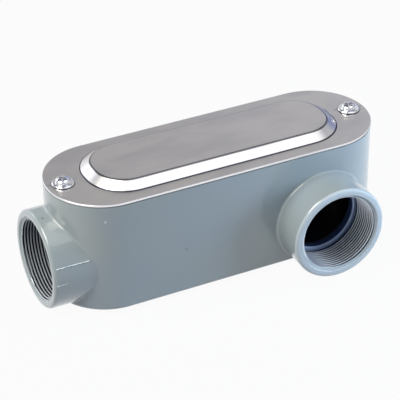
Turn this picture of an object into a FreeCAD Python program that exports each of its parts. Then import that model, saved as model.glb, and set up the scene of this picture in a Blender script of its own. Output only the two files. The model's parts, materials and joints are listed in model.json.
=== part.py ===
import FreeCAD, Part
import collections
import math
import os
import Sketcher

# A two-inch conduit body with one hub on its end and one hub on its side.
# Millimetres. X runs along the body, Y across it and Z up to the cover.
# The origin is the middle of the flat back of the casting.

document = FreeCAD.newDocument("ConduitBody")
up = FreeCAD.Vector(0, 0, 1)
zero = FreeCAD.Vector(0, 0, 0)
xAxis, yAxis = -1, -2  # a sketch's own axes, as its constraints number them
originPoint = (-1, 1)


# ---- driving sizes ----

drivingSizes = [
    # casting
    ("bodyLength", 248.5, "casting without its hubs"),
    ("wallThick", 3.2, "side wall"),
    ("floorThick", 3.2, "back wall"),
    ("backEdgeRound", 3.0, "outside radius round the back"),
    ("floorRound", 2.5, "inside radius round the floor"),
    # hubs, alike but for their reach
    ("threadRadius", 30.05, "root of the hub thread, two-inch pipe"),
    ("hubWall", 5.55, "hub outside the root of its thread"),
    ("hubPastBack", 4.0, "hub barrels past the flat back"),
    ("hubSideMargin", 5.9, "side of the body past the hub barrel"),
    ("rimAboveHub", 17.3, "rim of the body above the hub barrels"),
    ("endHubReach", 11.5, "end hub past the end of the body"),
    ("sideHubReach", 26.8, "side hub past the side of the body"),
    ("sideHubInset", 56.45, "side hub axis from the closed end of the body"),
    ("mouthChamfer", 0.8, "lead-in at the hub mouth"),
    ("shoulderDepth", 27.4, "hub face to the integral bushing"),
    ("bushingHeight", 3.65, "integral bushing inside the root of the thread"),
    ("throatRound", 1.2, "rounded lips of the integral bushing"),
    ("lipRound", 2.4, "outer edge of the hub face"),
    ("hubRootPast", 2.5, "outer barrel past the last of its joint with the wall"),
    ("heelSlope", 4.6, "slope from a hub up to the flat back"),
    ("barrelWall", 4.4, "inner barrel outside the root of the thread"),
    ("barrelSlope", 3.0, "slope at the inner end of an inner barrel"),
    ("sideBarrelInside", 3.25, "inner barrel past the inside of the wall at its throat"),
    ("endBarrelInside", 15.8, "inner barrel past the inside of the end wall"),
    ("hubJointRound", 1.6, "cast radius where a hub meets the wall"),
    # lugs for the cover screws
    ("screwInset", 12.05, "screw axes from the ends of the body"),
    ("lugRadius", 6.4, "casting round the threaded hole"),
    ("lugDepth", 20.0, "lug below the rim"),
    ("lugSlope", 5.0, "cast slope under the lug"),
    ("pilotSpare", 4.0, "threaded hole past the end of the screw"),
    # cover screws
    ("screwRadius", 2.74, "outside of the screw thread"),
    ("screwRunningGap", 0.04, "radial gap in the threaded hole"),
    ("screwEngage", 9.0, "thread below the rim of the casting"),
    ("screwTip", 0.6, "bevel at the end of the screw"),
    ("headRadius", 5.3, "pan head"),
    ("headHeight", 3.3, "pan head"),
    ("headRound", 1.7, "upper edge of the pan head"),
    ("slotWidth", 1.3, "driver slot"),
    ("slotDepth", 1.3, "driver slot"),
    ("crossWidth", 1.5, "cross recess"),
    ("crossSpan", 5.4, "cross recess, tip to tip"),
    ("crossDepth", 2.1, "cross recess"),
    ("slotTurn", 63.0, "degrees from the body's length to the driver slot"),
    # captive washers
    ("washerRadius", 7.9, "outside"),
    ("washerThick", 1.5, "thickness"),
    ("washerEdge", 0.7, "rounded upper edge"),
    ("washerGap", 0.25, "radial gap round the screw"),
    # gasket
    ("gasketThick", 0.9, "pressed thickness"),
    ("gasketInset", 0.6, "gasket edge inside the edge of the body"),
    ("gasketSide", 7.0, "strip along a side"),
    ("gasketEnd", 21.5, "pad at an end"),
    # cover
    ("coverThick", 1.3, "sheet"),
    ("coverEdge", 0.35, "rounded upper edge of the sheet"),
    ("coverHoleGap", 0.5, "radial gap round the screws in cover and gasket"),
    ("panelEndInset", 27.55, "foot of the raised panel from the end of the cover"),
    ("panelSideInset", 9.6, "foot of the raised panel from the side of the cover"),
    ("panelEndFlat", 2.5, "half the straight stretch at each end of the panel"),
    ("panelRise", 5.5, "height of the panel"),
    ("panelRun", 7.8, "sloping side of the panel, foot to crown"),
    ("panelFootRound", 1.2, "outside bend at the foot"),
    ("panelCrownRound", 2.6, "outside bend at the crown"),
]

sheet = document.addObject("Spreadsheet::Sheet", "Sizes")
for row, (alias, value, note) in enumerate(drivingSizes, start=1):
    sheet.set(f"A{row}", alias)
    sheet.set(f"B{row}", str(value))
    sheet.set(f"C{row}", note)
    sheet.setAlias(f"B{row}", alias)
document.recompute()


class Size:
    """A length with its present value and the expression that keeps it tied to the sheet."""

    def __init__(self, value, text):
        self.value = float(value)
        self.text = text

    def __add__(self, other):
        other = asSize(other)
        return Size(self.value + other.value, f"({self.text} + {other.text})")

    def __sub__(self, other):
        other = asSize(other)
        return Size(self.value - other.value, f"({self.text} - {other.text})")

    def __mul__(self, number):
        return Size(self.value * number, f"({self.text} * {number})")

    def __truediv__(self, number):
        return Size(self.value / number, f"({self.text} / {number})")

    def __neg__(self):
        return Size(-self.value, f"(0 - {self.text})")


def asSize(amount):
    return amount if isinstance(amount, Size) else Size(amount, str(amount))


def cell(alias):
    return Size(getattr(sheet, alias), f"Sizes.{alias}")


def otherSide(long, short):
    """The third side of a right triangle with a long side and a short one."""
    value = math.sqrt(long.value ** 2 - short.value ** 2)
    return Size(value, f"sqrt({long.text} * {long.text} - {short.text} * {short.text})")


# ---- places worked out from the driving sizes ----

halfLength = cell("bodyLength") / 2
cutPast = Size(1, "1")  # how far a cut starts outside what it cuts
hubRadius = cell("threadRadius") + cell("hubWall")
hubAxisHeight = hubRadius - cell("hubPastBack")
halfWidth = hubRadius + cell("hubSideMargin")  # also the radius of the body's ends
bodyWidth = halfWidth * 2
gasketFloor = hubAxisHeight + hubRadius + cell("rimAboveHub")  # the rim of the casting
coverFloor = gasketFloor + cell("gasketThick")
washerFloor = coverFloor + cell("coverThick")
headFloor = washerFloor + cell("washerThick")
screwEnd = gasketFloor - cell("screwEngage")
pilotDepth = cell("screwEngage") + cell("pilotSpare")
pilotRadius = cell("screwRadius") + cell("screwRunningGap")
coverHole = cell("screwRadius") + cell("coverHoleGap")
throatRadius = cell("threadRadius") - cell("bushingHeight")
sideHubPlace = halfLength - cell("sideHubInset")
screwPlace = halfLength - cell("screwInset")
panelLength = cell("bodyLength") - cell("panelEndInset") * 2
panelWidth = bodyWidth - cell("panelSideInset") * 2
panelCorner = panelWidth / 2 - cell("panelEndFlat")

# The round end walls curve away from both hubs, so each outer barrel runs on until all of it has
# met the wall. An overhang is how far the side hub, or its throat, reaches past the start of the
# round of the closed end.
barrelRadius = cell("threadRadius") + cell("barrelWall")
sideOverhang = hubRadius + halfWidth - cell("sideHubInset")
sideWallCurve = halfWidth - otherSide(halfWidth, sideOverhang)
endWallCurve = halfWidth - otherSide(halfWidth, hubRadius)
insideHalfWidth = halfWidth - cell("wallThick")
throatOverhang = throatRadius + halfWidth - cell("sideHubInset")
throatWallCurve = insideHalfWidth - otherSide(insideHalfWidth, throatOverhang)
insideWall = cell("sideHubReach") + cell("wallThick")
sideBarrel = insideWall + throatWallCurve + cell("sideBarrelInside")
endBarrel = cell("endHubReach") + cell("wallThick") + cell("endBarrelInside")
rootPast = cell("hubRootPast") + cell("heelSlope")
sideRoot = cell("sideHubReach") + sideWallCurve + rootPast
endRoot = cell("endHubReach") + endWallCurve + rootPast


# ---- helpers ----


def bind(feature, path, amount):
    feature.setExpression(path, asSize(amount).text)


def newBody(name):
    body = document.addObject("PartDesign::Body", name)
    body.Label = name
    body.Placement = FreeCAD.Placement(zero, FreeCAD.Rotation())
    return body


def newSketch(body, name, role, **shift):
    """A sketch on one of the body's origin planes, moved in that plane's own axes."""
    sketch = body.newObject("Sketcher::SketchObject", name)
    planes = [plane for plane in body.Origin.OriginFeatures if plane.Role == role]
    sketch.AttachmentSupport = [(planes[0], "")]
    sketch.MapMode = "FlatFace"
    for direction, amount in shift.items():
        bind(sketch, f"AttachmentOffset.Base.{direction}", amount)
    return sketch


def hold(sketch, kind, *where, amount):
    """A dimension tied to the sheet. A negative one is measured the other way round."""
    amount = asSize(amount)
    if amount.value < 0:
        where, amount = where[2:] + where[:2], -amount
    index = sketch.addConstraint(Sketcher.Constraint(kind, *where, amount.value))
    sketch.setExpression(f"Constraints[{index}]", amount.text)


def pin(sketch, curve, end, x, y):
    """Holds one point of a curve at x, y. A plain 0 means on that axis."""
    for kind, amount, axis in (("DistanceX", x, yAxis), ("DistanceY", y, xAxis)):
        if isinstance(amount, Size):
            hold(sketch, kind, *originPoint, curve, end, amount=amount)
        else:
            sketch.addConstraint(Sketcher.Constraint("PointOnObject", curve, end, axis))


def point(x, y):
    return FreeCAD.Vector(asSize(x).value, asSize(y).value, 0)


def polygon(sketch, corners):
    """A closed outline of straight lines through corners."""
    count = len(corners)
    first = sketch.GeometryCount
    for number in range(count):
        start, finish = point(*corners[number]), point(*corners[(number + 1) % count])
        sketch.addGeometry(Part.LineSegment(start, finish), False)
    for number in range(count):
        following = first + (number + 1) % count
        sketch.addConstraint(Sketcher.Constraint("Coincident", first + number, 2, following, 1))
    for number, (x, y) in enumerate(corners):
        pin(sketch, first + number, 1, x, y)


def circle(sketch, x, y, radius):
    index = sketch.addGeometry(Part.Circle(point(x, y), up, radius.value), False)
    hold(sketch, "Radius", index, amount=radius)
    pin(sketch, index, 3, x, y)


def arc(centre, radius, fromDegrees, toDegrees):
    whole = Part.Circle(centre, up, radius)
    return Part.ArcOfCircle(whole, math.radians(fromDegrees), math.radians(toDegrees))


def roundedOutline(sketch, length, width, corner):
    """A rectangle about the origin with round corners."""
    x, y, r = length.value / 2, width.value / 2, corner.value
    first = sketch.GeometryCount
    tops = [(x - r, y), (-x, y - r), (-x + r, -y), (x, -y + r)]
    ends = [(-x + r, y), (-x, -y + r), (x - r, -y), (x, y - r)]
    middles = [(-x + r, y - r), (-x + r, -y + r), (x - r, -y + r), (x - r, y - r)]
    for number in range(4):
        start, finish = FreeCAD.Vector(*tops[number], 0), FreeCAD.Vector(*ends[number], 0)
        sketch.addGeometry(Part.LineSegment(start, finish), False)
        turn = 90 + 90 * number
        middle = FreeCAD.Vector(*middles[number], 0)
        sketch.addGeometry(arc(middle, r, turn, turn + 90), False)
    for number in range(4):
        line, bend, following = (first + (2 * number + step) % 8 for step in range(3))
        sketch.addConstraint(Sketcher.Constraint("Tangent", line, 2, bend, 1))
        sketch.addConstraint(Sketcher.Constraint("Tangent", bend, 2, following, 1))
        sketch.addConstraint(Sketcher.Constraint("Horizontal" if number % 2 == 0 else "Vertical", line))
        if number:
            sketch.addConstraint(Sketcher.Constraint("Equal", first + 1, bend))
    hold(sketch, "Radius", first + 1, amount=corner)
    hold(sketch, "DistanceY", *originPoint, first, 1, amount=width / 2)
    hold(sketch, "DistanceY", first + 4, 1, *originPoint, amount=width / 2)
    hold(sketch, "DistanceX", first + 2, 1, *originPoint, amount=length / 2)
    hold(sketch, "DistanceX", *originPoint, first + 6, 1, amount=length / 2)


def obround(sketch, length, width):
    """Two straight sides and two half-circle ends about the origin."""
    half, r = (length.value - width.value) / 2, width.value / 2
    first = sketch.GeometryCount
    sketch.addGeometry(Part.LineSegment(FreeCAD.Vector(half, r, 0), FreeCAD.Vector(-half, r, 0)), False)
    sketch.addGeometry(arc(FreeCAD.Vector(-half, 0, 0), r, 90, 270), False)
    sketch.addGeometry(Part.LineSegment(FreeCAD.Vector(-half, -r, 0), FreeCAD.Vector(half, -r, 0)), False)
    sketch.addGeometry(arc(FreeCAD.Vector(half, 0, 0), r, -90, 90), False)
    for number in range(4):
        here, following = first + number, first + (number + 1) % 4
        sketch.addConstraint(Sketcher.Constraint("Tangent", here, 2, following, 1))
    hold(sketch, "Radius", first + 1, amount=width / 2)
    pin(sketch, first + 1, 3, -((length - width) / 2), 0)
    pin(sketch, first + 3, 3, (length - width) / 2, 0)


def feature(body, kind, name, sketch, **settings):
    """A sketched feature. Settings that are a Size are tied to the sheet."""
    made = body.newObject(f"PartDesign::{kind}", name)
    made.Profile = sketch
    for key, setting in settings.items():
        if isinstance(setting, Size):
            bind(made, key, setting)
        else:
            setattr(made, key, setting)
    sketch.Visibility = False
    document.recompute()
    return made


def turned(body, kind, name, sketch, axis):
    return feature(body, kind, name, sketch, ReferenceAxis=(sketch, [axis]), Angle=360.0)


def edgesWhere(shape, test):
    """Names of the edges whose every sampled point passes the test."""
    found = []
    for number, edge in enumerate(shape.Edges, start=1):
        samples = edge.discretize(Number=7)
        if all(test(sample) for sample in samples):
            found.append(f"Edge{number}")
    return found


def dress(body, kind, name, test, amount):
    """A Fillet or Chamfer on the edges of the body so far that pass the test."""
    base = body.Tip
    names = edgesWhere(base.Shape, test)
    if not names:
        raise RuntimeError(f"{name}: no edge found")
    made = body.newObject(f"PartDesign::{kind}", name)
    made.Base = (base, names)
    bind(made, "Radius" if kind == "Fillet" else "Size", amount)
    document.recompute()
    if made.Shape.isNull() or not made.Shape.isValid():
        raise RuntimeError(f"{name}: the shape is not valid")
    return made


def near(a, b):
    return abs(a - b) < 1e-4


def level(height):
    """Test for edges that lie flat at a height."""
    return lambda spot: near(spot.z, height.value)


def changed(body, before, grows):
    """Stops the script when a cut or a pad did nothing."""
    difference = body.Shape.Volume - before
    if (difference > 0) != grows or abs(difference) < 1e-3:
        raise RuntimeError(f"{body.Label}: {body.Tip.Name} changed the volume by {difference}")


# ---- casting ----

# The sketch plane through a hub's axis, the shifts that put the sketch on the mouth, and the
# lengths of the outer and the inner barrel.
Hub = collections.namedtuple("Hub", "plane along aside outer inner")

hubs = {
    "End": Hub("XZ_Plane", -(halfLength + cell("endHubReach")), Size(0, "0"), endRoot, endBarrel),
    "Side": Hub("YZ_Plane", -(halfWidth + cell("sideHubReach")), sideHubPlace, sideRoot, sideBarrel),
}


def hubAcross(name, spot):
    """Distance of a point from a hub's axis, and its depth behind the hub's face."""
    rise = spot.z - hubAxisHeight.value
    if name == "End":
        return math.hypot(spot.y, rise), spot.x - hubs[name].along.value
    return math.hypot(spot.x - sideHubPlace.value, rise), spot.y - hubs[name].along.value


def outlineDistance(spot):
    """Distance of a point from the casting's straight outer wall, seen from above."""
    half = (halfLength - halfWidth).value
    beyond = max(abs(spot.x) - half, 0)
    return math.hypot(beyond, spot.y) - halfWidth.value


def addBarrel(body, name, label, length, radius, slope):
    """A solid barrel from the hub's face, sloping in at its far end.

    Its outline is drawn below the axis, so that the seam of the turned faces lies under the hub,
    clear of the fillet where the barrel meets the wall.
    """
    hub = hubs[name]
    sketch = newSketch(body, f"{name}{label}Outline", hub.plane, x=hub.along, y=hubAxisHeight, z=hub.aside)
    polygon(sketch, [
        (0, 0),
        (0, -radius),
        (length - slope, -radius),
        (length, slope - radius),
        (length, 0),
    ])
    before = body.Shape.Volume
    turned(body, "Revolution", f"{name}{label}", sketch, "H_Axis")
    changed(body, before, grows=True)


def onWall(spot, depth):
    return near(outlineDistance(spot), 0)


def onFace(spot, depth):
    return near(depth, 0)


def anywhere(spot, depth):
    return True


def hubEdge(name, radius, place):
    """Test for edges at a radius from a hub's axis that are also at a place."""
    def test(spot):
        across, depth = hubAcross(name, spot)
        return near(across, radius.value) and place(spot, depth)

    return test


def makeHousing():
    body = newBody("housing")
    rim = gasketFloor

    block = newSketch(body, "BlockOutline", "XY_Plane")
    obround(block, cell("bodyLength"), bodyWidth)
    feature(body, "Pad", "Block", block, Length=rim)
    dress(body, "Fillet", "BackEdge", level(Size(0, "0")), cell("backEdgeRound"))

    for name, hub in hubs.items():
        addBarrel(body, name, "OuterBarrel", hub.outer, hubRadius, cell("heelSlope"))

    for name in hubs:
        joint = hubEdge(name, hubRadius, onWall)
        dress(body, "Fillet", f"{name}Joint", joint, cell("hubJointRound"))

    cavity = newSketch(body, "CavityOutline", "XY_Plane", z=rim)
    wall = cell("wallThick") * 2
    obround(cavity, cell("bodyLength") - wall, bodyWidth - wall)
    before = body.Shape.Volume
    feature(body, "Pocket", "Cavity", cavity, Length=rim - cell("floorThick"))
    changed(body, before, grows=False)
    dress(body, "Fillet", "FloorEdge", level(cell("floorThick")), cell("floorRound"))

    for name, hub in hubs.items():
        addBarrel(body, name, "InnerBarrel", hub.inner, barrelRadius, cell("barrelSlope"))

    lugs = newSketch(body, "LugOutline", "XY_Plane", z=rim)
    for side in (-1, 1):
        lugOutline(lugs, side)
    before = body.Shape.Volume
    feature(body, "Pad", "Lugs", lugs, Length=cell("lugDepth"), Reversed=True)
    changed(body, before, grows=True)

    def underFreeLug(spot):
        """The hub-end lug lands on its hub; only the other one ends in the open."""
        past = max(screwPlace.value - spot.x, 0)
        onSide = near(math.hypot(past, spot.y), cell("lugRadius").value)
        return spot.x > 0 and onSide and near(spot.z, (rim - cell("lugDepth")).value)

    dress(body, "Chamfer", "LugSlope", underFreeLug, cell("lugSlope"))

    for name, hub in hubs.items():
        sketch = newSketch(
            body, f"{name}BoreOutline", hub.plane, x=hub.along - cutPast, y=hubAxisHeight, z=hub.aside
        )
        boreOutline(sketch, hub.inner)
        before = body.Shape.Volume
        turned(body, "Groove", f"{name}Bore", sketch, "H_Axis")
        changed(body, before, grows=False)

    for name in hubs:
        dress(body, "Fillet", f"{name}Lip", hubEdge(name, hubRadius, onFace), cell("lipRound"))
        dress(body, "Fillet", f"{name}Throat", hubEdge(name, throatRadius, anywhere), cell("throatRound"))

    pilots = newSketch(body, "PilotHoles", "XY_Plane", z=rim)
    for side in (-1, 1):
        circle(pilots, screwPlace * side, 0, pilotRadius)
    before = body.Shape.Volume
    feature(body, "Pocket", "Pilots", pilots, Length=pilotDepth)
    changed(body, before, grows=False)
    return body


def lugOutline(sketch, side):
    """Round towards the middle of the body, straight-sided into the end wall."""
    r = cell("lugRadius")
    place = screwPlace * side
    wall = (halfLength - cell("wallThick") / 2) * side
    first = sketch.GeometryCount
    turn = 90 if side > 0 else -90
    low, high = (-r, r) if side > 0 else (r, -r)
    sketch.addGeometry(arc(point(place, 0), r.value, turn, turn + 180), False)
    sketch.addGeometry(Part.LineSegment(point(place, low), point(wall, low)), False)
    sketch.addGeometry(Part.LineSegment(point(wall, low), point(wall, high)), False)
    sketch.addGeometry(Part.LineSegment(point(wall, high), point(place, high)), False)
    sketch.addConstraint(Sketcher.Constraint("Tangent", first, 2, first + 1, 1))
    sketch.addConstraint(Sketcher.Constraint("Coincident", first + 1, 2, first + 2, 1))
    sketch.addConstraint(Sketcher.Constraint("Coincident", first + 2, 2, first + 3, 1))
    sketch.addConstraint(Sketcher.Constraint("Tangent", first + 3, 2, first, 1))
    sketch.addConstraint(Sketcher.Constraint("Vertical", first + 2))
    sketch.addConstraint(Sketcher.Constraint("Horizontal", first + 1))
    hold(sketch, "Radius", first, amount=r)
    pin(sketch, first, 3, place, 0)
    hold(sketch, "DistanceX", *originPoint, first + 2, 1, amount=wall)


def boreOutline(sketch, barrel):
    """Chamfered mouth, threaded bore, integral bushing; drawn from cutPast outside the mouth."""
    bore, chamfer = cell("threadRadius"), cell("mouthChamfer")
    shoulder = cutPast + cell("shoulderDepth")
    polygon(sketch, [
        (0, 0),
        (0, bore + chamfer + cutPast),
        (cutPast + chamfer, bore),
        (shoulder, bore),
        (shoulder, throatRadius),
        (barrel + cutPast * 2, throatRadius),
        (barrel + cutPast * 2, 0),
    ])


# ---- gasket and cover ----


def screwHoles(body, name, floor, radius):
    """Two round holes upwards through a sheet whose underside is at floor."""
    holes = newSketch(body, name, "XY_Plane", z=floor)
    for side in (-1, 1):
        circle(holes, screwPlace * side, 0, radius)
    before = body.Shape.Volume
    feature(body, "Pocket", f"{name}Cut", holes, Type="ThroughAll", Reversed=True)
    changed(body, before, grows=False)


def makeGasket():
    body = newBody("gasket")
    inset = cell("gasketInset")
    side = (inset + cell("gasketSide")) * 2
    end = (inset + cell("gasketEnd")) * 2
    outline = newSketch(body, "GasketOutline", "XY_Plane", z=gasketFloor)
    obround(outline, cell("bodyLength") - inset * 2, bodyWidth - inset * 2)
    obround(outline, cell("bodyLength") - end, bodyWidth - side)
    feature(body, "Pad", "Sheet", outline, Length=cell("gasketThick"))
    screwHoles(body, "GasketHoles", gasketFloor, coverHole)
    return body


def makeCover():
    body = newBody("cover")
    thick = cell("coverThick")
    rise = cell("panelRise")
    bend = "atan(Sizes.panelRise / Sizes.panelRun)"
    lean = math.atan2(rise.value, cell("panelRun").value)
    sheetTop = coverFloor + thick

    # Each face of the sloping side lies one sheet from the other, so the inner foot is drawn in.
    tuck = Size(thick.value * math.tan(lean / 2), f"(Sizes.coverThick * tan({bend} / 2))")
    taper = Size(math.degrees(lean) - 90, f"({bend} - 90 deg)")

    outline = newSketch(body, "CoverOutline", "XY_Plane", z=coverFloor)
    obround(outline, cell("bodyLength"), bodyWidth)
    feature(body, "Pad", "Sheet", outline, Length=thick)
    dress(body, "Fillet", "SheetEdge", level(sheetTop), cell("coverEdge"))

    foot = newSketch(body, "PanelFoot", "XY_Plane", z=sheetTop)
    roundedOutline(foot, panelLength, panelWidth, panelCorner)
    before = body.Shape.Volume
    feature(body, "Pad", "Panel", foot, Length=rise, TaperAngle=taper)
    changed(body, before, grows=True)

    hollow = newSketch(body, "PanelHollow", "XY_Plane", z=coverFloor)
    roundedOutline(
        hollow, panelLength - tuck * 2, panelWidth - tuck * 2, panelCorner - tuck
    )
    before = body.Shape.Volume
    feature(body, "Pocket", "Hollow", hollow, Length=rise, TaperAngle=taper, Reversed=True)
    changed(body, before, grows=False)

    def onFoot(spot):
        return near(spot.z, sheetTop.value) and outlineDistance(spot) < -cell("coverEdge").value - 1

    def onHollowFoot(spot):
        return near(spot.z, coverFloor.value) and outlineDistance(spot) < -1

    dress(body, "Fillet", "FootBend", onFoot, cell("panelFootRound"))
    dress(body, "Fillet", "CrownBend", level(sheetTop + rise), cell("panelCrownRound"))
    dress(body, "Fillet", "FootBendUnder", onHollowFoot, cell("panelFootRound") + thick)
    dress(body, "Fillet", "CrownBendUnder", level(coverFloor + rise), cell("panelCrownRound") - thick)
    screwHoles(body, "CoverHoles", coverFloor, coverHole)
    return body


# ---- washers and screws ----


def makeWasher(name, side):
    body = newBody(name)
    inner, outer = cell("screwRadius") + cell("washerGap"), cell("washerRadius")
    thick = cell("washerThick")
    section = newSketch(body, "WasherSection", "XZ_Plane", x=screwPlace * side, y=washerFloor)
    polygon(section, [(inner, 0), (outer, 0), (outer, thick), (inner, thick)])
    turned(body, "Revolution", "Ring", section, "V_Axis")
    middle = screwPlace.value * side

    def onUpperEdge(spot):
        return near(spot.z, headFloor.value) and near(math.hypot(spot.x - middle, spot.y), outer.value)

    dress(body, "Fillet", "UpperEdge", onUpperEdge, cell("washerEdge"))
    return body


def makeScrew(name, side):
    """Pan head with a driver slot and a cross recess; the shank is plain at the thread's outside."""
    body = newBody(name)
    place = screwPlace * side
    shank, tip = cell("screwRadius"), cell("screwTip")
    head, headTop = cell("headRadius"), headFloor + cell("headHeight")
    grip = headFloor - screwEnd
    section = newSketch(body, "ScrewSection", "XZ_Plane", x=place, y=screwEnd)
    polygon(section, [
        (0, 0),
        (shank - tip, 0),
        (shank, tip),
        (shank, grip),
        (head, grip),
        (head, grip + cell("headHeight")),
        (0, grip + cell("headHeight")),
    ])
    turned(body, "Revolution", "Turning", section, "V_Axis")
    dress(body, "Fillet", "HeadEdge", level(headTop), cell("headRound"))
    recesses = [
        ("Slot", (head + cutPast) * 2, cell("slotWidth"), cell("slotDepth")),
        ("CrossAlong", cell("crossSpan"), cell("crossWidth"), cell("crossDepth")),
        ("CrossOver", cell("crossWidth"), cell("crossSpan"), cell("crossDepth")),
    ]
    for label, along, over, depth in recesses:
        outline = newSketch(body, f"{label}Outline", "XY_Plane", x=place, z=headTop)
        bind(outline, "AttachmentOffset.Rotation.Angle", cell("slotTurn"))
        polygon(outline, [
            (along / 2, over / 2),
            (-(along / 2), over / 2),
            (-(along / 2), -(over / 2)),
            (along / 2, -(over / 2)),
        ])
        before = body.Shape.Volume
        feature(body, "Pocket", label, outline, Length=depth)
        changed(body, before, grows=False)
    return body


# ---- build, check and write ----

pieces = [makeHousing(), makeGasket(), makeCover()]
for end, side in (("hub_end", -1), ("closed_end", 1)):
    pieces.append(makeWasher(f"{end}_washer", side))
    pieces.append(makeScrew(f"{end}_screw", side))
document.recompute()

for item in document.Objects:
    if "Invalid" in item.State or "Error" in item.State:
        raise RuntimeError(f"{item.Label} did not build: {item.State}")
for piece in pieces:
    if piece.Shape.isNull() or not piece.Shape.isValid() or len(piece.Shape.Solids) != 1:
        raise RuntimeError(f"{piece.Label} is not one valid solid")

os.makedirs("parts", exist_ok=True)
for piece in pieces:
    piece.Shape.exportStep(f"parts/{piece.Label}.step")
    print(f"{piece.Label}: {piece.Shape.Volume:.0f} cubic millimetres")
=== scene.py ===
import json
import math

import bmesh
import bpy
from mathutils import Matrix, Vector


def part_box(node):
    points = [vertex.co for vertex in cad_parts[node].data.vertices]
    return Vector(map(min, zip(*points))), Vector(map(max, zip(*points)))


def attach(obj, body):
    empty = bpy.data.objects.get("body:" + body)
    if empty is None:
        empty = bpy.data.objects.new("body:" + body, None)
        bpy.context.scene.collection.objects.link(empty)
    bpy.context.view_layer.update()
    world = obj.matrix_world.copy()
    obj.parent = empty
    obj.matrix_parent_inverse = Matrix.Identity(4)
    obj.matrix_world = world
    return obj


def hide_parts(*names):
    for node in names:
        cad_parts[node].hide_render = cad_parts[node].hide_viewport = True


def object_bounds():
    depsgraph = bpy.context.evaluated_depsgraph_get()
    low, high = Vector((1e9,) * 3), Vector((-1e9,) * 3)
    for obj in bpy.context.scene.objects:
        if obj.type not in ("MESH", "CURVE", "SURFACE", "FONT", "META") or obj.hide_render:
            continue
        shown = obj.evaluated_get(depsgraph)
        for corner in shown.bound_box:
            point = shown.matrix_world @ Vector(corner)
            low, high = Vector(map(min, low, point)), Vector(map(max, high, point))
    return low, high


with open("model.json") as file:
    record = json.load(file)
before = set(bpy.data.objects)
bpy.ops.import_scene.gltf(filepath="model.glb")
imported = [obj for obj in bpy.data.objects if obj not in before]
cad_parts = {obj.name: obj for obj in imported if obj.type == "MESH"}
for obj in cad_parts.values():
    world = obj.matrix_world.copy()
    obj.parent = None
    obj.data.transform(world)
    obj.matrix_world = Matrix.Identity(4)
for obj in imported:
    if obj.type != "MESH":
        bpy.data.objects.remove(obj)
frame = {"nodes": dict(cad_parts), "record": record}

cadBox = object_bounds()
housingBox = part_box("housing")
halfWidth = housingBox[1].y
hubs = {m["name"]: m for m in frame["record"]["mounts"] if m["kind"] == "threaded_hole"}
endHub, sideHub = hubs["end_hub"], hubs["side_hub"]
screws = ("hub_end_screw", "closed_end_screw")
mergeWithin = 1e-6


def washerOf(screw):
    return screw.replace("screw", "washer")


def tone(red, green, blue):  # screen values of 0 to 255, as the linear colour that shaders take
    shares = [value / 255 for value in (red, green, blue)]
    return tuple(((share + 0.055) / 1.055) ** 2.4 if share > 0.04045 else share / 12.92 for share in shares)


def hubPlace(hub):  # local Z points out of the mouth, local Y up
    out, up = Vector(hub["axis"]), Vector((0, 0, 1))
    turn = Matrix((up.cross(out), up, out)).transposed().to_4x4()
    return Matrix.Translation(Vector(hub["pos_m"])) @ turn


class Wire:  # one output of a node, on which + - * and ** add Math nodes
    def __init__(self, sheet, socket):
        self.sheet = sheet
        self.socket = socket

    def maths(self, operation, first, second):
        return self.sheet.put("ShaderNodeMath", {"operation": operation}, {0: first, 1: second})

    def __add__(self, other):
        return self.maths("ADD", self, other)

    def __radd__(self, other):
        return self.maths("ADD", other, self)

    def __sub__(self, other):
        return self.maths("SUBTRACT", self, other)

    def __rsub__(self, other):
        return self.maths("SUBTRACT", other, self)

    def __mul__(self, other):
        return self.maths("MULTIPLY", self, other)

    def __rmul__(self, other):
        return self.maths("MULTIPLY", other, self)

    def __pow__(self, other):
        return self.maths("POWER", self, other)

    def __rpow__(self, other):
        return self.maths("POWER", other, self)

    def __abs__(self):
        return self.sheet.put("ShaderNodeMath", {"operation": "ABSOLUTE"}, {0: self})

    def atLeast(self, other):
        return self.maths("MAXIMUM", self, other)

    def rise(self, low, high):  # 0 up to low and 1 from high, eased between
        values = {"Value": self, "From Min": low, "From Max": high}
        return self.sheet.put("ShaderNodeMapRange", {"interpolation_type": "SMOOTHSTEP"}, values)

    def fall(self, low, high):  # 1 up to low and 0 from high
        return 1 - self.rise(low, high)

    def band(self, spans, start=0):  # 1 between two eased edges, each measured from start
        (low, lowEnd), (high, highEnd) = spans
        return self.rise(start + low, start + lowEnd) * self.fall(start + high, start + highEnd)


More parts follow.
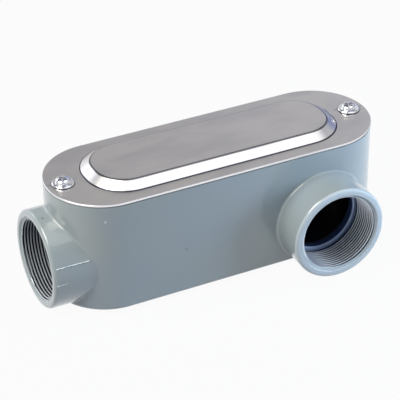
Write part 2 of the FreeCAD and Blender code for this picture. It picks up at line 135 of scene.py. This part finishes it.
class Sheet:  # a material's or the world's nodes
    def __init__(self, owner, outputKind):
        owner.use_nodes = True
        self.owner = owner
        self.tree = owner.node_tree
        self.tree.nodes.clear()
        self.end = self.tree.nodes.new(outputKind)

    def put(self, kind, settings, values, out=0):
        node = self.tree.nodes.new(kind)
        for key, value in settings.items():
            setattr(node, key, value)
        for key, value in values.items():
            socket = node.inputs[key]
            if isinstance(value, Wire):
                self.tree.links.new(value.socket, socket)
            elif isinstance(value, tuple) and socket.type == "RGBA":
                socket.default_value = (*value, 1)
            else:
                socket.default_value = value
        return Wire(self, node.outputs[out])

    def place(self):
        return self.put("ShaderNodeTexCoord", {}, {}, "Object")

    def axes(self, vector):
        first = self.put("ShaderNodeSeparateXYZ", {}, {0: vector})
        return [Wire(self, socket) for socket in first.socket.node.outputs]

    def noise(self, vector, scale, detail):
        return self.put("ShaderNodeTexNoise", {}, {"Vector": vector, "Scale": scale, "Detail": detail})

    def stretch(self, vector, scale):
        return self.put("ShaderNodeMapping", {}, {"Vector": vector, "Scale": scale})

    def blend(self, share, first, second):  # sockets 6 and 7 and output 2 are the Mix node's colours
        return self.put("ShaderNodeMix", {"data_type": "RGBA"}, {0: share, 6: first, 7: second}, 2)

    def bump(self, height, strength, distance):
        return self.put("ShaderNodeBump", {}, {"Height": height, "Strength": strength, "Distance": distance})

    def ray(self, kind):
        return self.put("ShaderNodeLightPath", {}, {}, kind)

    def seen(self):  # 1 for what the camera sees, also by way of metal or glass
        mirrored, through = self.ray("Is Glossy Ray"), self.ray("Is Transmission Ray")
        return self.ray("Is Camera Ray").atLeast(mirrored).atLeast(through)

    def surface(self, values):
        return self.finish(self.put("ShaderNodeBsdfPrincipled", {}, values))

    def finish(self, shader):
        self.tree.links.new(shader.socket, self.end.inputs["Surface"])
        return self.owner


def newSheet(name):
    return Sheet(bpy.data.materials.new(name), "ShaderNodeOutputMaterial")


def fromSpine(x, y, node):  # distance from the middle line of an obround part
    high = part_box(node)[1]
    beyond = (abs(x) - (high.x - high.y)).atLeast(0)
    return (beyond * beyond + y * y) ** 0.5


enamelLook = {
    "paint": tone(142, 155, 165),
    "paintWarm": tone(147, 157, 161),
    # painted shade: the inside of the hollow body is darkened, as little light gets in
    "cavity": tone(28, 31, 42),
    # painted shade in the thread relief and the throat behind each hub's threads
    "recess": tone(62, 84, 128),
    # painted highlight: the pale shoulder inside each hub
    "ring": tone(184, 202, 240),
    # painted highlight: the pale face round the side hub's mouth
    "mouth": tone(178, 190, 200),
    "roughness": 0.32,
    "coat": 1.0,
    "coatRoughness": 0.03,
    "cloud": (14, 2),  # a noise's scale and detail
    "cloudFrom": (0.35, 0.65),
    "cast": (60, 2),
    "peel": (420, 1),
    "peelShare": 0.25,
    "bump": (0.12, 0.0004),  # strength and distance
    "wallThick": 0.0032,
    "wallInside": (0.0004, 0.0007),  # past the wall's thickness, where the painted shade of the hollow inside gives way
    "floorThick": (0.0022, 0.0028),
    "hubReach": {"end_hub": 0.030, "side_hub": 0.032},  # how deep behind a mouth the hub's painted shade and highlight go
    "hubReachFade": 0.0005,
    "bore": ((0.0294, 0.0298), (0.0304, 0.0306)),  # radii between which the bare relief lies, painted with shade
    "boreFrom": (0.0236, 0.0242),  # depth behind the mouth
    "throat": (0.0265, 0.0268),
    "throatFrom": (0.0270, 0.0278),
    "lip": (0.0290, 0.0294),
    "lipDepths": ((0.0255, 0.0259), (0.0274, 0.0280)),
    "face": ((0.0296, 0.0302), (0.0350, 0.0360)),  # the side hub's, where its face takes a painted highlight
    "faceDepth": (0.0004, 0.0016),
    "ragged": (500, 2),
    "markCore": 0.4,  # share of a mark's reach that has its full tone
    "marks": (  # distance behind the end hub's mouth, share of the half width, height; reach; tone. The first is a painted highlight at the end hub's joint, the others are dark specks and a pale spot
        ((0.0145, -0.4145, 0.0672), 0.0026, tone(170, 178, 180)),
        ((0.0367, -0.9277, 0.0734), 0.0014, tone(186, 196, 202)),
        ((0.0045, -0.1253, 0.0668), 0.0009, tone(84, 92, 98)),
        ((0.0952, -1.0000, 0.0354), 0.0009, tone(86, 96, 104)),
    ),
}


def hubAxes(hub, axes):  # depth behind the mouth and distance from the hub's middle line
    away = [axis - middle for axis, middle in zip(axes, hub["pos_m"])]
    depth = away.pop(0 if hub is endHub else 1)  # both hubs point to the negative side
    return depth, (away[0] ** 2 + away[1] ** 2) ** 0.5


def makeEnamel(look):
    sheet = newSheet("greyEnamel")
    place = sheet.place()
    axes = sheet.axes(place)
    x, y, z = axes
    cloud = sheet.noise(place, *look["cloud"])
    paint = sheet.blend(cloud.rise(*look["cloudFrom"]), look["paint"], look["paintWarm"])
    inner, innerEnd = (halfWidth - look["wallThick"] + past for past in look["wallInside"])
    cavityShadeMask = fromSpine(x, y, "housing").fall(inner, innerEnd) * z.rise(*look["floorThick"])
    recess, ring = 0, 0
    for hub in (endHub, sideHub):
        depth, radius = hubAxes(hub, axes)
        reach = look["hubReach"][hub["name"]]
        within = depth.fall(reach, reach + look["hubReachFade"])
        bore = radius.band(look["bore"]) * depth.rise(*look["boreFrom"])
        throat = radius.fall(*look["throat"]) * depth.rise(*look["throatFrom"])
        lip = radius.fall(*look["lip"]) * depth.band(look["lipDepths"])
        recess = recess + (bore + throat) * within
        ring = ring + lip * within
    # painted shade inside the hollow, in each hub's relief and throat, and a painted highlight on each hub's
    # shoulder
    colour = sheet.blend(cavityShadeMask, paint, look["cavity"])
    colour = sheet.blend(recess, colour, look["recess"])
    colour = sheet.blend(ring, colour, look["ring"])
    # painted highlight on the side hub's face
    depth, radius = hubAxes(sideHub, axes)
    mouth = radius.band(look["face"]) * depth.fall(*look["faceDepth"])
    colour = sheet.blend(mouth, colour, look["mouth"])
    ragged = sheet.noise(place, *look["ragged"])
    # dark specks and a pale spot, and one painted highlight patch at the end hub's joint
    for (behind, share, height), reach, shade in look["marks"]:
        spot = (endHub["pos_m"][0] + behind, share * halfWidth, height)
        away = sheet.put("ShaderNodeVectorMath", {"operation": "DISTANCE"}, {0: place, 1: spot}, "Value")
        away = away + (ragged - 0.5) * reach
        colour = sheet.blend(away.fall(reach * look["markCore"], reach), colour, shade)
    peel = sheet.noise(place, *look["peel"])
    cast = sheet.noise(place, *look["cast"])
    return sheet.surface(
        {
            "Base Color": colour,
            "Roughness": look["roughness"],
            "Coat Weight": look["coat"],
            "Coat Roughness": look["coatRoughness"],
            "Normal": sheet.bump(peel * look["peelShare"] + cast, *look["bump"]),
        }
    )


coverLook = {
    "metal": tone(228, 225, 223),
    "stain": tone(214, 212, 213),
    "edge": tone(240, 240, 242),
    "bend": tone(52, 54, 64),
    "scuff": tone(120, 122, 124),
    "roughness": 0.25,
    "detail": 3,
    "rolledStretch": (30, 900, 900),
    "rolledRoughness": 0.06,
    "cloudStretch": (22, 50, 50),
    "cloudRoughness": 0.05,
    "cloudFrom": (0.35, 0.7),
    "bump": (0.08, 0.0001),
    "edgeWidth": 0.0006,
    "panelRise": 0.0055,
    "foot": ((0.00002, 0.00008), (0.00045, 0.00080)),  # the panel's lower bend, above the flat, painted with shade
    "crown": ((-0.0009, -0.0004), (-0.00010, -0.00002)),  # its upper bend, below the top, painted with shade
    "crownShare": 0.85,
    "rays": (3.1, 60, 50),  # of the dark streaks: by bearing, by distance from the screw, and by screw
    "scuffNoise": (1.1, 3),
    "scuffFrom": (0.56, 0.72),
    "scuffs": ((-0.0004, 0), (0.0005, 0.0050)),  # past the washer's edge
    "scuffShare": 0.5,
    "seat": ((-0.0006, -0.0002), (0.0002, 0.0012)),  # the painted contact shadow round the washer's foot
    "seatShare": 0.6,
}


def washerStreaksAndShadow(sheet, x, y, washer, look):  # dark radial streaks round each washer on the cover, and its painted contact shadow
    low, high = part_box(washer)
    aside, reach = x - (low.x + high.x) / 2, (high.x - low.x) / 2
    away = (aside * aside + y * y) ** 0.5
    bearing = sheet.put("ShaderNodeMath", {"operation": "ARCTAN2"}, {0: y, 1: aside})
    around, along, each = look["rays"]
    spread = {"X": bearing * around, "Y": away * along, "Z": low.x * each}
    rays = sheet.put("ShaderNodeCombineXYZ", {}, spread)
    streaked = sheet.noise(rays, *look["scuffNoise"]).rise(*look["scuffFrom"])
    streaked = streaked * away.band(look["scuffs"], reach) * look["scuffShare"]
    return streaked.atLeast(away.band(look["seat"], reach) * look["seatShare"])


def makeSheetMetal(look):
    sheet = newSheet("satinSheetMetal")
    place = sheet.place()
    x, y, z = sheet.axes(place)
    rolled = sheet.noise(sheet.stretch(place, look["rolledStretch"]), 1, look["detail"])
    cloud = sheet.noise(sheet.stretch(place, look["cloudStretch"]), 1, look["detail"])
    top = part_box("cover")[1]
    sheared = fromSpine(x, y, "cover").rise(top.y - look["edgeWidth"], top.y - look["edgeWidth"] / 2)
    colour = sheet.blend(cloud.rise(*look["cloudFrom"]), look["metal"], look["stain"])
    for screw in screws:
        # dark streaks and a painted contact shadow round each washer
        colour = sheet.blend(washerStreaksAndShadow(sheet, x, y, washerOf(screw), look), colour, look["scuff"])
    # painted shade along the panel's foot and crown
    foot = z.band(look["foot"], top.z - look["panelRise"])
    crown = z.band(look["crown"], top.z) * look["crownShare"]
    colour = sheet.blend(foot.atLeast(crown), colour, look["bend"])
    roughness = look["roughness"] + rolled * look["rolledRoughness"]
    return sheet.surface(
        {
            "Base Color": sheet.blend(sheared, colour, look["edge"]),
            "Metallic": 1.0,
            "Roughness": roughness + cloud * look["cloudRoughness"],
            "Normal": sheet.bump(rolled, *look["bump"]),
        }
    )


platingLook = {
    "metal": tone(240, 241, 244),
    "grime": tone(205, 207, 214),
    "wear": (900, 2),
    "wearFrom": (0.55, 0.8),
    "roughness": 0.07,
    "wearRoughness": 0.12,
    "grain": (1600, 1),
    "bump": (0.1, 0.0001),
}


def makePlating(look):
    sheet = newSheet("brightPlating")
    place = sheet.place()
    wear = sheet.noise(place, *look["wear"])
    return sheet.surface(
        {
            "Base Color": sheet.blend(wear.rise(*look["wearFrom"]), look["metal"], look["grime"]),
            "Metallic": 1.0,
            "Roughness": look["roughness"] + wear * look["wearRoughness"],
            "Normal": sheet.bump(sheet.noise(place, *look["grain"]), *look["bump"]),
        }
    )


rubberLook = {
    "rubber": tone(132, 136, 140),
    "bloom": tone(150, 153, 156),
    "roughness": 0.75,
    "grain": (700, 3),
    "bump": (0.3, 0.0002),
}


def makeRubber(look):
    sheet = newSheet("greyRubber")
    grain = sheet.noise(sheet.place(), *look["grain"])
    colour = sheet.blend(grain, look["rubber"], look["bloom"])
    normal = sheet.bump(grain, *look["bump"])
    return sheet.surface({"Base Color": colour, "Roughness": look["roughness"], "Normal": normal})


paintedMark = 2.0  # the toothHeight that marks the painted chamfer at a mouth
threadLook = {
    "crest": tone(212, 218, 228),
    # dark dirt and painted shade in the thread roots
    "groove": tone(24, 30, 42),
    "mouth": tone(160, 172, 182),
    # enamel spray over the side hub's lower left threads, darker as painted shade
    "overspray": tone(112, 114, 128),
    "oversprayShare": 0.85,
    "metallic": 0.5,
    "roughness": 0.26,
    "scratches": (1500, 2),
    "scratchRoughness": 0.15,
    "bump": (0.15, 0.0001),
    "bare": (0.45, 0.85),
    "painted": (1.1, 1.9),
    "sprayAside": (0.004, 0.017),  # towards the end hub, from the side hub's middle
    "sprayBelow": (0.008, 0.020),
    "sprayDepth": (-0.040, -0.036),  # Y at which it stops
}


def makeThreadMetal(look):
    sheet = newSheet("cutThreadMetal")
    height = sheet.put("ShaderNodeAttribute", {"attribute_name": "toothHeight"}, {}, 2)
    place = sheet.place()
    x, y, z = sheet.axes(place)
    scratch = sheet.noise(place, *look["scratches"])
    # painted shade in the thread roots, together with dark dirt there
    colour = sheet.blend(height.rise(*look["bare"]), look["groove"], look["crest"])
    painted = height.rise(*look["painted"])
    colour = sheet.blend(painted, colour, look["mouth"])
    middle = Vector(sideHub["pos_m"])
    # enamel spray at the lower left of the side hub, darkened as painted shade
    sprayShaded = (middle.x - x).rise(*look["sprayAside"]) * (middle.z - z).rise(*look["sprayBelow"])
    sprayShaded = sprayShaded * y.fall(*look["sprayDepth"]) * (1 - painted)
    return sheet.surface(
        {
            "Base Color": sheet.blend(sprayShaded * look["oversprayShare"], colour, look["overspray"]),
            "Metallic": look["metallic"] * (1 - painted.atLeast(sprayShaded)),
            "Roughness": look["roughness"] + scratch * look["scratchRoughness"],
            "Normal": sheet.bump(scratch, *look["bump"]),
        }
    )


plating = makePlating(platingLook)
threadMetal = makeThreadMetal(threadLook)
finishes = {
    "enamel": makeEnamel(enamelLook),
    "sheet_metal": makeSheetMetal(coverLook),
    "bright_plating": plating,
    "gasket_rubber": makeRubber(rubberLook),
}
print("materials made")

for node in frame["nodes"].values():
    for holder in node.material_slots:
        holder.material = finishes[holder.material.name]
print("finishes on the cast, sheet and rubber parts")


def loose(bm, name):
    mesh = bpy.data.meshes.new(name)
    bm.to_mesh(mesh)
    bm.free()
    thing = bpy.data.objects.new(name, mesh)
    bpy.context.scene.collection.objects.link(thing)
    return thing


def settle(bm, name, material, body, sharpAngle):
    for face in bm.faces:
        face.smooth = True
    piece = loose(bm, name)
    piece.data.set_sharp_from_angle(angle=math.radians(sharpAngle))
    piece.data.materials.append(material)
    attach(piece, body)
    return piece


def spinOutline(bm, points, steps, climb, closed):
    lines = [bm.edges.new(pair) for pair in zip(points, points[1:])]
    bmesh.ops.spin(
        bm,
        geom=points + lines,
        cent=(0, 0, 0),
        axis=(0, 0, 1),
        dvec=(0, 0, climb),
        angle=2 * math.pi,
        steps=steps,
        use_merge=closed,
        use_duplicate=False,
    )


def helix(shares, cut, start, turns):  # shares are (along the pitch, tooth's height from 0 to 1)
    bm = bmesh.new()
    tooth = bm.verts.layers.float.new("toothHeight")
    points = []
    for along, share in shares:
        radius = cut["root"] + (cut["crest"] - cut["root"]) * share
        point = bm.verts.new((radius, 0, start + cut["pitch"] * along))
        point[tooth] = share
        points.append(point)
    spinOutline(bm, points, cut["steps"], cut["pitch"] / cut["steps"], False)
    oneTurn = bm.verts[:] + bm.edges[:] + bm.faces[:]
    for turn in range(1, turns):
        copied = bmesh.ops.duplicate(bm, geom=oneTurn)["geom"]
        moved = [g for g in copied if isinstance(g, bmesh.types.BMVert)]
        bmesh.ops.translate(bm, verts=moved, vec=(0, 0, cut["pitch"] * turn))
    bmesh.ops.remove_doubles(bm, verts=bm.verts, dist=2e-5)  # joins the ends of the turns
    return bm


def setRadius(v, radius, wanted):
    v.co.x *= wanted / radius
    v.co.y *= wanted / radius


def cutAcross(bm, height, keepAbove):
    bmesh.ops.bisect_plane(
        bm,
        geom=bm.verts[:] + bm.edges[:] + bm.faces[:],
        dist=1e-7,
        plane_co=(0, 0, height),
        plane_no=(0, 0, 1),
        clear_inner=keepAbove,
        clear_outer=not keepAbove,
    )


hubThread = {
    "pitch": 0.002209,
    "root": 0.02997,
    "crest": 0.02828,
    "rootPlay": 0.00003,  # how far past its root the thread may reach
    "depth": 0.0243,
    "taper": 1 / 32,
    "mouthSlope": 2.2,  # how fast the chamfer narrows inwards
    "rim": 0.0002,
    "runOut": 1.1,  # how fast the teeth die out at the inner end
    "steps": 80,
    "tooth": ((-0.5, 0), (-0.42, 0), (-0.25, 0.5), (-0.08, 1), (0.08, 1), (0.25, 0.5), (0.42, 0), (0.5, 0)),
    "firstTooth": {"end_hub": -0.0006, "side_hub": -0.0012},
    "fade": {"end_hub": 0.0003, "side_hub": 0.0015},  # where the mouth's enamel gives way to bare thread
    "fadeFrom": 1.6,
    "sharp": 50,  # degrees between faces, above which an edge stays sharp
}


def makeHubThread(hub, cut):
    turns = int(cut["depth"] / cut["pitch"]) + 4
    start = cut["firstTooth"][hub["name"]] - cut["pitch"] * (turns - 1.5)
    bm = helix(cut["tooth"], cut, start, turns)
    tooth = bm.verts.layers.float["toothHeight"]
    for v in bm.verts:
        depth = -v.co.z
        radius = math.hypot(v.co.x, v.co.y)
        mouth = hub["dims"]["r_mm"] / 1000 - depth * cut["mouthSlope"]
        end = cut["root"] - (cut["depth"] - depth) * cut["runOut"]
        fitted = min(max(radius - depth * cut["taper"], mouth, end), cut["root"] + cut["rootPlay"])
        setRadius(v, radius, fitted)
        chamfered = mouth >= fitted - mergeWithin and depth > -cut["rim"]
        fading = cut["fadeFrom"] - depth / cut["fade"][hub["name"]]
        v[tooth] = paintedMark if chamfered else max(v[tooth], fading)
    cutAcross(bm, 0, False)
    cutAcross(bm, -cut["depth"], True)
    bmesh.ops.bridge_loops(bm, edges=[e for e in bm.edges if e.is_boundary])
    bmesh.ops.recalc_face_normals(bm, faces=bm.faces)
    bm.transform(hubPlace(hub))
    return settle(bm, hub["name"] + "_thread", threadMetal, "housing", cut["sharp"])


for hub in hubs.values():
    piece = makeHubThread(hub, hubThread)
    print("thread cut in", hub["name"], len(piece.data.polygons), "faces")


def lathe(outline, steps):  # outline is (radius, height), round the Z axis
    bm = bmesh.new()
    points = [bm.verts.new((radius, 0, height)) for radius, height in outline]
    spinOutline(bm, points, steps, 0, True)
    bmesh.ops.remove_doubles(bm, verts=bm.verts, dist=mergeWithin)
    bmesh.ops.recalc_face_normals(bm, faces=bm.faces)
    return bm


def forget(thing):
    mesh = thing.data
    bpy.data.objects.remove(thing)
    bpy.data.meshes.remove(mesh)


def cutBoxes(bm, boxes, top, turn):  # takes boxes of length, width and depth out of a turned head
    head = loose(bm, "head")
    cutters = []
    for length, width, depth in boxes:
        box = bmesh.new()
        bmesh.ops.create_cube(box, size=1)
        bmesh.ops.scale(box, verts=box.verts, vec=(length, width, depth * 2))
        box.transform(Matrix.Translation((0, 0, top)) @ Matrix.Rotation(turn, 4, "Z"))
        cutters.append(loose(box, "cutter"))
        cut = head.modifiers.new("cut", "BOOLEAN")
        cut.operation, cut.solver, cut.object = "DIFFERENCE", "EXACT", cutters[-1]
    view = bpy.context.evaluated_depsgraph_get()
    shaped = bpy.data.meshes.new_from_object(head.evaluated_get(view))
    for thing in (head, *cutters):
        forget(thing)
    bm = bmesh.new()
    bm.from_mesh(shaped)
    bpy.data.meshes.remove(shaped)
    bmesh.ops.remove_doubles(bm, verts=bm.verts, dist=mergeWithin)
    return bm


screwLook = {
    "pitch": 0.001058,
    "root": 0.00224,
    "crest": 0.00273,
    "steps": 28,
    "tooth": ((-0.5, 0), (-0.4, 0), (-0.06, 1), (0.06, 1), (0.4, 0), (0.5, 0)),
    "pointLength": 0.0008,
    "pointCut": 0.0006,  # how far the point goes in from the root
    "headSteps": 48,
    "domeSteps": 15,
    "domeFullness": 0.8,
    "underRound": 0.0002,
    "side": 0.0007,  # height of the head's upright side
    "slot": (0.0120, 0.0011, 0.0011),  # length, width, depth
    "cross": (0.0052, 0.0014, 0.0019),
    "slotTurn": 63,
    "sharp": 35,
}


def makeHead(head, underHead, top, look):
    rounded = look["underRound"]
    outline = [(0, underHead), (head - rounded, underHead), (head, underHead + rounded)]
    for step in range(look["domeSteps"]):
        lean = math.pi / 2 * step / look["domeSteps"]
        tall = look["side"] + (top - underHead - look["side"]) * math.sin(lean)
        outline.append((head * math.cos(lean) ** look["domeFullness"], underHead + tall))
    outline.append((0, top))
    length, width, depth = look["cross"]
    boxes = [look["slot"], look["cross"], (width, length, depth)]
    return cutBoxes(lathe(outline, look["headSteps"]), boxes, top, math.radians(look["slotTurn"]))


def makeShank(bottom, top, look):
    turns = int((top - bottom) / look["pitch"]) + 3
    bm = helix(look["tooth"], look, bottom - look["pitch"], turns)
    for v in bm.verts:
        radius = math.hypot(v.co.x, v.co.y)
        point = look["crest"] - look["pointLength"] + (v.co.z - bottom)
        setRadius(v, radius, min(radius, max(point, look["root"] - look["pointCut"])))
    cutAcross(bm, bottom, True)
    cutAcross(bm, top, False)
    bmesh.ops.holes_fill(bm, edges=[e for e in bm.edges if e.is_boundary], sides=0)
    bmesh.ops.recalc_face_normals(bm, faces=bm.faces)
    return bm


def makeScrew(node, look):
    low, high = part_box(node)
    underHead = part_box(washerOf(node))[1].z
    bm = makeHead((high.x - low.x) / 2, underHead, high.z, look)
    shank = loose(makeShank(low.z, underHead + look["underRound"], look), "shank")
    bm.from_mesh(shank.data)
    forget(shank)
    bmesh.ops.translate(bm, verts=bm.verts, vec=((low.x + high.x) / 2, 0, 0))
    piece = settle(bm, node + "_cut", plating, node, look["sharp"])
    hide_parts(node)
    return piece


washerLook = {
    "hole": 0.0030,
    "flatTo": 0.0067,
    "undercut": 0.0012,
    "foot": 0.0005,
    "holeEdge": 0.0001,
    "rollSteps": 10,
    "steps": 64,
    "sharp": 40,
}


def makeWasher(node, look):  # stamped, with its upper edge rolled over
    low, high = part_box(node)
    outer, foot = (high.x - low.x) / 2, low.z + look["foot"]
    hole, flatTo, holeEdge = look["hole"], look["flatTo"], look["holeEdge"]
    outline = [(hole, low.z), (hole, high.z - holeEdge), (hole + holeEdge, high.z), (flatTo, high.z)]
    for step in range(1, look["rollSteps"] + 1):
        lean = math.pi / 2 * step / look["rollSteps"]
        outline.append((flatTo + (outer - flatTo) * math.sin(lean), foot + (high.z - foot) * math.cos(lean)))
    outline += [(outer - look["undercut"], low.z), (hole, low.z)]
    bm = lathe(outline, look["steps"])
    bmesh.ops.translate(bm, verts=bm.verts, vec=((low.x + high.x) / 2, 0, 0))
    piece = settle(bm, node + "_turned", plating, node, look["sharp"])
    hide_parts(node)


for node in screws:
    piece = makeScrew(node, screwLook)
    makeWasher(washerOf(node), washerLook)
    print("screw and washer", node, len(piece.data.polygons), "faces")

seamLook = {
    "runs": (  # along the end hub's barrel: from and to behind its mouth, height above its middle, how proud
        ("upper", 0.0013, 0.0256, 0.0113, 0.0006),
        ("lower", 0.0004, 0.0087, -0.0012, 0.0001),
    ),
    "halfWidth": 0.00028,
    "edge": 0.00008,
    "cuts": 18,
    "waver": (0.25, 2.3, 0.9),  # share of the height, and its two waves
    "sway": (0.00005, 1.7),
    "sharp": 60,
    # painted highlight: the near-white tone along the seam's ridge
    "paint": tone(240, 246, 250),
    "roughness": 0.35,
    "coat": 0.6,
    "chipStretch": (420, 2000, 2000),
    "chipDetail": 2,
    "chipFrom": (0.46, 0.60),
    "bump": (0.4, 0.0002),
}


def makeSeamPaint(look):
    sheet = newSheet("rubbedSeamPaint")
    # the seam's painted highlight, broken up by noise back to the enamel's tone
    chips = sheet.noise(sheet.stretch(sheet.place(), look["chipStretch"]), 1, look["chipDetail"])
    return sheet.surface(
        {
            "Base Color": sheet.blend(chips.rise(*look["chipFrom"]), look["paint"], enamelLook["paint"]),
            "Roughness": look["roughness"],
            "Coat Weight": look["coat"],
            "Normal": sheet.bump(chips, *look["bump"]),
        }
    )


def lengthwise(bm, length):
    return [e for e in bm.edges if abs(e.verts[0].co.x - e.verts[1].co.x) > length / 2]


def makeSeam(run, look, paint):  # the thin ridge that the mould's parting leaves
    name, behindFrom, behindTo, above, proud = run
    mouth = Vector(endHub["pos_m"])
    barrel = mouth.z - housingBox[0].z
    length = behindTo - behindFrom
    bm = bmesh.new()
    bmesh.ops.create_cube(bm, size=1)
    bmesh.ops.scale(bm, verts=bm.verts, vec=(length, look["halfWidth"] * 2, proud * 2))
    bmesh.ops.bevel(
        bm,
        geom=[e for e in lengthwise(bm, length) if e.verts[0].co.z > 0],
        offset=look["edge"],
        offset_type="OFFSET",
        segments=2,
        profile=0.5,
        affect="EDGES",
        material=-1,
    )
    bmesh.ops.subdivide_edges(bm, edges=lengthwise(bm, length), cuts=look["cuts"], use_grid_fill=True)
    (waver, wave, slowWave), (sway, swayWave) = look["waver"], look["sway"]
    for v in bm.verts:  # the ridge wavers in height and sways a little
        along = (v.co.x / length + 0.5) * (look["cuts"] + 1)
        tall = 1 - waver + waver * math.sin(along * wave) * math.cos(along * slowWave)
        v.co.z *= tall if v.co.z > 0 else 1
        v.co.y += sway * math.sin(along * swayWave)
    angle = math.asin(above / barrel)
    out = Vector((0, -math.cos(angle), math.sin(angle)))
    alongX = Vector((1, 0, 0))
    middle = mouth + alongX * (behindFrom + behindTo) / 2 + out * barrel
    turn = Matrix((alongX, out.cross(alongX), out)).transposed().to_4x4()
    bm.transform(Matrix.Translation(middle) @ turn)
    bmesh.ops.recalc_face_normals(bm, faces=bm.faces)
    settle(bm, "casting_seam_" + name, paint, "housing", look["sharp"])


seamPaint = makeSeamPaint(seamLook)
for run in seamLook["runs"]:
    makeSeam(run, seamLook, seamPaint)
print("casting seams on the end hub")

white = (1, 1, 1)
studio = {
    "floorSize": 8.0,
    "floorDrop": 0.00002,  # clear of the part's lowest face
    "floorTone": tone(150, 156, 164),
    "floorGlow": 0.95,
    "ambient": (0.04, 0.04, 0.05),
    "farLeft": (0.50, 0.50, 0.52),
    "skyline": (  # along X, where each tone behind the part begins and is reached
        ((-0.80, -0.55), (0.95, 0.96, 1.0)),
        ((-0.10, 0.28), (0.44, 0.43, 0.43)),
        ((0.20, 0.58), (0.88, 0.86, 0.82)),
    ),
    "horizonRight": (0.20, 0.28, 0.55),
    "horizonFrom": (0.32, 0.52),
    "horizonTop": (0.30, 0.48),
    "ceiling": (0.13, 0.14, 0.19),
    "ceilingFrom": (0.50, 0.74),
    "front": (0.86, 0.86, 0.87),
    "frontHigh": (0.36, 0.37, 0.42),
    "frontHighFrom": (0.20, 0.48),
    "frontTo": (-0.14, 0.12),  # along Y, where it gives way to what lies behind
    "groundTo": (-0.1, 0.0),  # white below it
    "lampsAimAt": (0, 0, 0.04),
    "lamps": {  # azimuth (0 in front, 90 at +X), elevation, distance, size, watts, colour, mirrored in metal
        "left": (-83, 55, 1.5, (0.95, 0.95), 25.5, (1.0, 0.975, 0.89), True),
        "leftLow": (-88, 12, 1.5, (0.8, 0.5), 3.8, (1.0, 0.91, 0.80), False),
        "rightNear": (58, 10, 0.42, (0.16, 0.16), 1.25, (0.68, 0.85, 1.0), False),
        "front": (10, 14, 0.45, (0.25, 0.2), 0.17, (0.70, 0.86, 1.0), False),
        "overhead": (58, 67, 1.25, (1.1, 0.9), 4.0, (0.99, 1.0, 1.0), True),
        "behind": (-152, 26, 1.5, (0.5, 0.4), 1.2, (0.85, 0.93, 1.0), True),
    },
}


def towards(azimuth, elevation):
    flat = math.cos(elevation)
    return Vector((math.sin(azimuth) * flat, -math.cos(azimuth) * flat, math.sin(elevation)))


def makeLamp(name, aim, azimuth, elevation, distance, size, power, colour, mirrored):
    data = bpy.data.lights.new(name, "AREA")
    data.shape = "RECTANGLE"
    data.size, data.size_y = size
    data.energy = power
    data.color = colour
    away = towards(math.radians(azimuth), math.radians(elevation))
    thing = bpy.data.objects.new(name, data)
    thing.visible_camera = False
    thing.visible_glossy = mirrored
    thing.location = away * distance + Vector(aim)
    thing.rotation_mode = "QUATERNION"
    thing.rotation_quaternion = away.to_track_quat("Z", "Y")
    bpy.context.scene.collection.objects.link(thing)


def makeFloor(plan):
    bm = bmesh.new()
    bmesh.ops.create_grid(bm, x_segments=1, y_segments=1, size=plan["floorSize"] / 2)
    bmesh.ops.translate(bm, verts=bm.verts, vec=(0, 0, cadBox[0].z - plan["floorDrop"]))
    floor = loose(bm, "floor")
    sheet = newSheet("paleFloor")
    matt = sheet.put("ShaderNodeBsdfDiffuse", {}, {"Color": plan["floorTone"]})
    glow = sheet.put("ShaderNodeEmission", {}, {"Color": white, "Strength": 1.0})
    share = sheet.seen() * plan["floorGlow"]
    mixed = sheet.put("ShaderNodeMixShader", {}, {0: share, 1: matt, 2: glow})
    floor.data.materials.append(sheet.finish(mixed))


def makeBackdrop(plan):  # white to the camera; metal sees a pale room with a dim ceiling
    world = bpy.data.worlds.new("studio")
    bpy.context.scene.world = world
    sky = Sheet(world, "ShaderNodeOutputWorld")
    x, y, z = sky.axes(sky.put("ShaderNodeTexCoord", {}, {}, "Generated"))
    behind = plan["farLeft"]
    for span, shade in plan["skyline"]:
        behind = sky.blend(x.rise(*span), behind, shade)
    horizon = x.rise(*plan["horizonFrom"]) * z.fall(*plan["horizonTop"])
    behind = sky.blend(horizon, behind, plan["horizonRight"])
    behind = sky.blend(z.rise(*plan["ceilingFrom"]), behind, plan["ceiling"])
    front = sky.blend(z.rise(*plan["frontHighFrom"]), plan["front"], plan["frontHigh"])
    colour = sky.blend(y.fall(*plan["frontTo"]), behind, front)
    colour = sky.blend(z.rise(*plan["groundTo"]), white, colour)
    colour = sky.blend(sky.ray("Is Camera Ray"), colour, white)
    backdrop = sky.put("ShaderNodeBackground", {}, {"Color": colour, "Strength": 1.0})
    room = sky.put("ShaderNodeBackground", {}, {"Color": plan["ambient"], "Strength": 1.0})
    sky.finish(sky.put("ShaderNodeMixShader", {}, {0: sky.seen(), 1: room, 2: backdrop}))


makeFloor(studio)
for name, plan in studio["lamps"].items():
    makeLamp(name + "Softbox", studio["lampsAimAt"], *plan)
makeBackdrop(studio)
print("studio lit")

shot = {
    "azimuth": -26.197,
    "elevation": 32.410,
    "roll": -0.503,
    "distance": 1.27075,
    "lens": 159.68,
    "sensor": 36,
    "aimFromMiddle": (-0.001228, 0.016620, -0.002900),
}


def makeCamera(plan):
    azimuth, elevation, roll = (math.radians(plan[key]) for key in ("azimuth", "elevation", "roll"))
    back = towards(azimuth, elevation)
    right = Vector((math.cos(azimuth), math.sin(azimuth), 0))
    right = right * math.cos(roll) + back.cross(right) * math.sin(roll)
    aim = (cadBox[0] + cadBox[1]) / 2 + Vector(plan["aimFromMiddle"])
    data = bpy.data.cameras.new("camera")
    data.lens = plan["lens"]
    data.sensor_width = plan["sensor"]
    camera = bpy.data.objects.new("camera", data)
    turn = Matrix((right, back.cross(right), back)).transposed().to_4x4()
    camera.matrix_world = Matrix.Translation(aim + back * plan["distance"]) @ turn
    bpy.context.scene.collection.objects.link(camera)
    bpy.context.scene.camera = camera


makeCamera(shot)
bpy.context.scene.view_settings.view_transform = "Standard"
print("camera placed")
